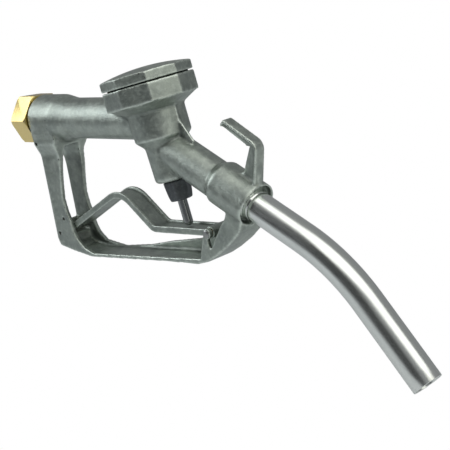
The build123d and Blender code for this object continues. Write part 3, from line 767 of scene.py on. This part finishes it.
class NOZZLE_OT_spout(bpy.types.Operator):
    """Bent spout tube and the bright collar at its root"""

    bl_idname = "nozzle.spout"
    bl_label = "Spout"

    def execute(self, context):
        """Sweep the tube along its two runs and bend, then turn the collar."""
        look = context.scene.nozzle_spout
        piece = self.tube(look)
        steel = turned_material("polished_spout", look.metal, look.tarnish, (0.19, 0.27), 1.0,
                                stretch=(4.0, 50.0, 1.0), uv=True, amount=0.2, smear=26.0, bump=0.0)
        place_piece(piece, steel, "nozzle", ["spout_tube"], 50)
        bm = bmesh.new()
        half = look.radius
        outline = [(half - 0.0002, 0.0), (0.0141, 0.0), (0.0145, 0.0008), (0.0144, 0.0020),
                   (0.0134, 0.0030), (0.0127, 0.0045), (half + 0.0001, COLLAR_LEN),
                   (half - 0.0002, COLLAR_LEN)]
        add_lathe(bm, rounded(outline, 0.0014), outlet_frame(COLLAR_START), 128, closed=True)
        bead = link_piece("spout_bead", bm)
        shine = turned_material("polished_bead", look.metal, look.tarnish, (0.12, 0.2), 700.0,
                                amount=0.25, bump=0.04)
        place_piece(bead, shine, "nozzle", ["spout_collar"], 50)
        return {"FINISHED"}

    def tube(self, look):
        """Tube mesh with a UV map that runs along its length."""
        bm = bmesh.new()
        start = outlet_frame(SPOUT_START)
        ring = bmesh.ops.create_circle(bm, cap_ends=False, segments=96, radius=look.radius,
                                       matrix=start)["verts"]
        turn = SPOUT_DROP - OUTLET_DROP
        first = Vector((math.cos(OUTLET_DROP), 0, -math.sin(OUTLET_DROP)))
        second = Vector((math.cos(SPOUT_DROP), 0, -math.sin(SPOUT_DROP)))
        back = look.bend * math.tan(turn / 2)
        ring = self.run_on(bm, ring, first, SPOUT_CORNER - back - SPOUT_START)
        corner = outlet_frame(SPOUT_CORNER).to_translation()
        below = Vector((-math.sin(OUTLET_DROP), 0, -math.cos(OUTLET_DROP)))
        centre = corner - first * back + below * look.bend
        edges = list({e for v in ring for e in v.link_edges
                      if e.is_boundary and all(w in ring for w in e.verts)})
        spun = bmesh.ops.spin(bm, geom=ring + edges, cent=centre, axis=(0, 1, 0), dvec=(0, 0, 0),
                              angle=turn, steps=28, use_merge=False, use_duplicate=False)
        ring = [g for g in spun["geom_last"] if isinstance(g, bmesh.types.BMVert)]
        self.run_on(bm, ring, second, SPOUT_TAIL - back)
        bmesh.ops.recalc_face_normals(bm, faces=bm.faces)
        outward = 0.0
        for face in bm.faces:
            middle = face.calc_center_median()
            outward += face.normal.dot(middle - self.nearest(middle, corner, first, second, back))
        if outward < 0:
            bmesh.ops.reverse_faces(bm, faces=bm.faces)
        self.unwrap(bm, corner, first, second, back, look)
        piece = link_piece("spout", bm)
        shell = piece.modifiers.new("wall", "SOLIDIFY")
        shell.thickness = look.wall
        shell.offset = -1.0
        settle(piece)
        ease_edges(piece, 0.00045, 3, 50)
        return piece

    def run_on(self, bm, ring, way, length, steps=6):
        """Carry a ring of vertices straight on."""
        for _ in range(steps):
            edges = list({e for v in ring for e in v.link_edges if all(w in ring for w in e.verts)})
            out = bmesh.ops.extrude_edge_only(bm, edges=edges)["geom"]
            ring = [g for g in out if isinstance(g, bmesh.types.BMVert)]
            bmesh.ops.translate(bm, verts=ring, vec=way * (length / steps))
        return ring

    def nearest(self, point, corner, first, second, back):
        """Point of the centreline beside a point, good enough to tell in from out."""
        before = (point - corner).dot(first)
        after = (point - corner).dot(second)
        if before < -back:
            return corner + first * before
        if after > back:
            return corner + second * after
        share = (before + back) / (2 * back)
        inner = (first * (-back)).lerp(second * back, share)
        return corner + inner

    def unwrap(self, bm, corner, first, second, back, look):
        """UV map: along the tube in X, round it in Y."""
        layer = bm.loops.layers.uv.new("UVMap")
        for face in bm.faces:
            middle = face.calc_center_median()
            centre = self.nearest(middle, corner, first, second, back)
            lead = math.atan2(middle.y, (middle - centre).dot(Vector((0.55, 0, 0.83))))
            for loop in face.loops:
                point = loop.vert.co
                near = self.nearest(point, corner, first, second, back)
                angle = math.atan2(point.y, (point - near).dot(Vector((0.55, 0, 0.83))))
                if angle - lead > math.pi:
                    angle -= 2 * math.pi
                if lead - angle > math.pi:
                    angle += 2 * math.pi
                run = (point - corner).dot((first + second).normalized())
                loop[layer].uv = (run * 10, angle * look.radius * 10)


class NOZZLE_OT_hose_nut(bpy.types.Operator):
    """Brass swivel nut with its inner thread"""

    bl_idname = "nozzle.hose_nut"
    bl_label = "Hose Nut"

    def execute(self, context):
        """Turn chamfers on a hexagon, bore it and cut its thread."""
        look = context.scene.nozzle_nut
        corner = look.flats / math.sqrt(3)
        bm = bmesh.new()
        middle = inlet_frame(look.length / 2) @ Matrix.Rotation(-look.turn, 4, "Z")
        bmesh.ops.create_cone(bm, cap_ends=True, segments=6, radius1=corner, radius2=corner,
                              depth=look.length, matrix=middle)
        piece = link_piece("hose_nut", bm)
        low = corner - look.chamfer
        bm = bmesh.new()
        outline = [(0.0, -0.0001), (low, -0.0001), (low, 0.0), (corner, look.chamfer),
                   (corner, look.length - look.chamfer), (low, look.length), (low, look.length + 0.0001),
                   (0.0, look.length + 0.0001)]
        add_lathe(bm, outline, inlet_frame(0.0), 128)
        cut_with(piece, bm, "INTERSECT")
        bm = bmesh.new()
        bore = [(0.0, -0.001), (0.0168, -0.001), (0.0164, 0.0006), (0.0164, 0.016), (0.013, 0.016),
                (0.013, look.length + 0.001), (0.0, look.length + 0.001)]
        add_lathe(bm, bore, inlet_frame(0.0), 96)
        cut_with(piece, bm)
        ease_edges(piece, 0.00035, 2, 28)
        brass = turned_material("brass_nut", look.metal, look.tarnish, (0.16, 0.26), 900.0,
                                stretch=(0.15, 1, 1), amount=0.35, smear=60.0, bump=0.06)
        place_piece(piece, brass, "swivel", ["swivel_nut"], 25)
        thread = self.thread(look)
        place_piece(thread, brass, "swivel", [], 30)
        return {"FINISHED"}

    def thread(self, look):
        """Helical ridge on the wall of the bore."""
        bm = bmesh.new()
        pitch = look.pitch
        tooth = [(0.01645, 0.0), (0.01525, pitch * 0.42), (0.01525, pitch * 0.58), (0.01645, pitch)]
        verts = [bm.verts.new((r, 0, h)) for r, h in tooth]
        edges = [bm.edges.new(pair) for pair in zip(verts, verts[1:])]
        turns = 4
        steps = 64 * turns
        bmesh.ops.spin(bm, geom=verts + edges, cent=(0, 0, 0), axis=(0, 0, 1),
                       dvec=(0, 0, pitch * turns / steps), angle=2 * math.pi * turns, steps=steps,
                       use_merge=False, use_duplicate=False)
        bmesh.ops.remove_doubles(bm, verts=bm.verts, dist=1e-7)
        bmesh.ops.transform(bm, matrix=inlet_frame(0.0008), verts=bm.verts)
        bmesh.ops.recalc_face_normals(bm, faces=bm.faces)
        middles = [(f.normal, f.calc_center_median()) for f in bm.faces]
        inward = sum(normal.y * middle.y + normal.z * middle.z for normal, middle in middles)
        if inward > 0:
            bmesh.ops.reverse_faces(bm, faces=bm.faces)
        return link_piece("hose_thread", bm)


class NOZZLE_OT_pins(bpy.types.Operator):
    """Pivot pin with a domed head and its push-on washer"""

    bl_idname = "nozzle.pins"
    bl_label = "Pivot Pin"

    def execute(self, context):
        """Turn the pin and the washer."""
        bm = bmesh.new()
        outline = [(0.0, -0.0156), (0.0022, -0.0155), (0.0034, -0.0149), (0.0036, -0.0144),
                   (0.0025, -0.0144), (0.0025, 0.0152), (0.0021, 0.0156), (0.0, 0.0156)]
        add_lathe(bm, rounded(outline, 0.0003, 3), cross_frame(PIVOT, 0.0), 48)
        pin = link_piece("pin", bm)
        steel = turned_material("pin_steel", (0.42, 0.43, 0.42), (0.2, 0.2, 0.19), (0.28, 0.42), 900.0,
                                amount=0.5, smear=200.0)
        place_piece(pin, steel, "nozzle", ["pivot_pin"], 35)
        bm = bmesh.new()
        outline = [(0.00252, 0.0144), (0.0036, 0.0144), (0.0036, 0.0150), (0.0030, 0.0154),
                   (0.00252, 0.0150)]
        add_lathe(bm, outline, cross_frame(PIVOT, 0.0), 48, closed=True)
        washer = link_piece("push_washer", bm)
        place_piece(washer, steel, "nozzle", ["pin_washer"], 35)
        return {"FINISHED"}


class NOZZLE_OT_inner(bpy.types.Operator):
    """Finishes for the CAD nodes that stay as they are"""

    bl_idname = "nozzle.inner"
    bl_label = "Inner Parts"

    def execute(self, context):
        """Give each carried-over node its own metal or rubber."""
        steel = turned_material("ground_steel", (0.34, 0.35, 0.35), (0.2, 0.2, 0.2), (0.12, 0.2), 1500.0,
                                stretch=(1, 1, 0.05), turn=(0, -VALVE_LEAN, 0), amount=0.3)
        spring = turned_material("spring_steel", (0.45, 0.45, 0.44), (0.2, 0.19, 0.17), (0.25, 0.4),
                                 amount=0.4)
        mesh = turned_material("strainer_steel", (0.55, 0.55, 0.53), (0.25, 0.24, 0.22), (0.25, 0.4),
                               amount=0.4)
        brass = turned_material("plain_brass", (0.72, 0.52, 0.2), (0.42, 0.27, 0.08), (0.22, 0.38),
                                amount=0.5)
        bronze = turned_material("bush_bronze", (0.55, 0.36, 0.18), (0.3, 0.18, 0.08), (0.3, 0.45),
                                 amount=0.5)
        values = {
            "Metal": (0.022, 0.022, 0.022),
            "Shade": (0.014, 0.014, 0.014),
            "Worn": (0.05, 0.05, 0.05),
            "Cloud Scale": 150.0,
            "Grain Scale": 2500.0,
            "Rough Low": 0.6,
            "Rough High": 0.75,
        }
        rubber = finish_material("black_rubber", cast_skin_group(), values, 0.0, 0.15, 0.00005,
                                 specular=0.35)
        packing = finish_material("graphite_packing", cast_skin_group(), values, 0.3, 0.3, 0.0001,
                                  specular=0.5)
        finishes = {
            steel: ["valve_stem", "valve_nut", "packing_washer", "spout_snap_ring"],
            spring: ["main_spring"],
            mesh: ["inlet_strainer"],
            brass: ["inlet_tailpiece", "seat_ring", "poppet_disc"],
            bronze: ["stem_guide", "lever_bush"],
            rubber: ["cap_gasket", "poppet_seal", "spout_o_rings", "tailpiece_o_ring", "hose_gasket"],
            packing: ["stem_packing"],
        }
        for material, nodes in finishes.items():
            for node in nodes:
                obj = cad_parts[node]
                obj.data.materials.clear()
                obj.data.materials.append(material)
        return {"FINISHED"}


class NOZZLE_OT_stage(bpy.types.Operator):
    """Floor, lights and camera"""

    bl_idname = "nozzle.stage"
    bl_label = "Stage"

    def execute(self, context):
        """Lay the floor, hang the lights and set the camera."""
        look = context.scene.nozzle_stage
        self.floor(look)
        aim = Vector((0.2, 0.0, -0.05))
        self.light("overhead", PANEL_PLACE, PANEL_SIZE, look.overhead, (0, 0, PANEL_TURN), (1.0, 1.0, 0.96))
        for name, way, power, colour in (
            ("left_front", (-0.7, -0.5, 0.5), look.left, (0.93, 0.97, 1.0)),
            ("right", (1, -0.05, 0.1), look.right, (1.0, 1.0, 0.9)),
        ):
            way = Vector(way).normalized()
            turn = (-way).to_track_quat("-Z", "Y").to_euler()
            self.light(name, aim + way * SIDE_REACH, (0.8, 0.8), power, turn, colour)
        context.scene.world = self.room(look)
        context.scene.view_settings.view_transform = "Standard"
        camera = bpy.data.cameras.new("camera")
        camera.lens = CAMERA_LENS
        camera.sensor_width = 36.0
        camera.clip_end = 60.0
        holder = bpy.data.objects.new("camera", camera)
        tilt = Matrix.Rotation(math.pi / 2 - CAMERA_HEIGHT, 4, "X")
        turn = Matrix.Rotation(CAMERA_AZIMUTH, 4, "Z") @ tilt
        holder.matrix_world = Matrix.Translation(CAMERA_PLACE) @ turn @ Matrix.Rotation(CAMERA_ROLL, 4, "Z")
        context.collection.objects.link(holder)
        context.scene.camera = holder
        return {"FINISHED"}

    def room(self, look):
        """Even room light with a dark side toward the front."""
        world = bpy.data.worlds.new("room")
        world.use_nodes = True
        tree = world.node_tree
        background = tree.nodes["Background"]
        background.inputs["Color"].default_value = (0.95, 0.98, 1.0, 1)
        ways = add_node(tree, "TexCoord")
        near = add_node(tree, "VectorMath", operation="DOT_PRODUCT")
        near.inputs[1].default_value = Vector(DARK_SIDE).normalized()
        tree.links.new(ways.outputs["Generated"], near.inputs[0])
        span = add_node(tree, "MapRange", interpolation_type="SMOOTHSTEP")
        for name, number in (("From Min", 0.6), ("From Max", 0.88),
                             ("To Min", look.room), ("To Max", look.shadow)):
            span.inputs[name].default_value = number
        tree.links.new(near.outputs["Value"], span.inputs["Value"])
        tree.links.new(span.outputs["Result"], background.inputs["Strength"])
        plain = add_node(tree, "Background", Strength=1.0)
        plain.inputs["Color"].default_value = (1, 1, 1, 1)
        path = add_node(tree, "LightPath")
        both = add_node(tree, "MixShader")
        tree.links.new(path.outputs["Is Camera Ray"], both.inputs[0])
        tree.links.new(background.outputs[0], both.inputs[1])
        tree.links.new(plain.outputs[0], both.inputs[2])
        tree.links.new(both.outputs[0], tree.nodes["World Output"].inputs["Surface"])
        return world

    def floor(self, look):
        """Wide pale floor that shows white and casts little light back."""
        bm = bmesh.new()
        bmesh.ops.create_grid(bm, x_segments=8, y_segments=8, size=30.0,
                              matrix=Matrix.Translation((0, 0, -look.drop)))
        floor = link_piece("floor", bm)
        material = bpy.data.materials.new("pale_floor")
        material.use_nodes = True
        tree = material.node_tree
        shader = tree.nodes["Principled BSDF"]
        shader.inputs["Base Color"].default_value = (0.79, 0.81, 0.83, 1)
        shader.inputs["Roughness"].default_value = 0.9
        glow = add_node(tree, "Emission", Strength=1.0)
        path = add_node(tree, "LightPath")
        both = add_node(tree, "MixShader")
        tree.links.new(path.outputs["Is Camera Ray"], both.inputs[0])
        tree.links.new(shader.outputs[0], both.inputs[1])
        tree.links.new(glow.outputs[0], both.inputs[2])
        tree.links.new(both.outputs[0], tree.nodes["Material Output"].inputs["Surface"])
        floor.data.materials.append(material)

    def light(self, name, place, size, power, turn, colour):
        """Soft rectangular light."""
        lamp = bpy.data.lights.new(name, "AREA")
        lamp.shape = "RECTANGLE"
        lamp.size, lamp.size_y = size
        lamp.energy = power
        lamp.color = colour
        holder = bpy.data.objects.new(name, lamp)
        holder.location = place
        holder.rotation_euler = turn
        bpy.context.collection.objects.link(holder)


class NOZZLE_PT_panel(bpy.types.Panel):
    """Steps that build the nozzle."""

    bl_idname = "NOZZLE_PT_panel"
    bl_label = "Fuel Nozzle"
    bl_space_type = "VIEW_3D"
    bl_region_type = "UI"
    bl_category = "Nozzle"

    def draw(self, context):
        """Settings first, then a button for each step."""
        for name in SETTINGS:
            group = getattr(context.scene, name)
            box = self.layout.box()
            for prop in group.__annotations__:
                box.prop(group, prop)
        for step in STEPS:
            self.layout.operator(step.bl_idname)


SETTINGS = {
    "nozzle_casting": NOZZLE_PG_casting,
    "nozzle_spout": NOZZLE_PG_spout,
    "nozzle_nut": NOZZLE_PG_nut,
    "nozzle_stage": NOZZLE_PG_stage,
}
STEPS = (
    NOZZLE_OT_stage,
    NOZZLE_OT_body,
    NOZZLE_OT_cap,
    NOZZLE_OT_lever,
    NOZZLE_OT_gland,
    NOZZLE_OT_spout,
    NOZZLE_OT_hose_nut,
    NOZZLE_OT_pins,
    NOZZLE_OT_inner,
)


def register():
    """Register every class and the scene's settings."""
    for cls in (*SETTINGS.values(), *STEPS, NOZZLE_PT_panel):
        bpy.utils.register_class(cls)
    for name, cls in SETTINGS.items():
        setattr(bpy.types.Scene, name, PointerProperty(type=cls))


def unregister():
    """Undo register."""
    for name in SETTINGS:
        delattr(bpy.types.Scene, name)
    for cls in reversed((*SETTINGS.values(), *STEPS, NOZZLE_PT_panel)):
        bpy.utils.unregister_class(cls)


def main():
    """Build every piece and the stage."""
    register()
    for step in STEPS:
        space, name = step.bl_idname.split(".")
        getattr(getattr(bpy.ops, space), name)()


if __name__ == "__main__":
    main()
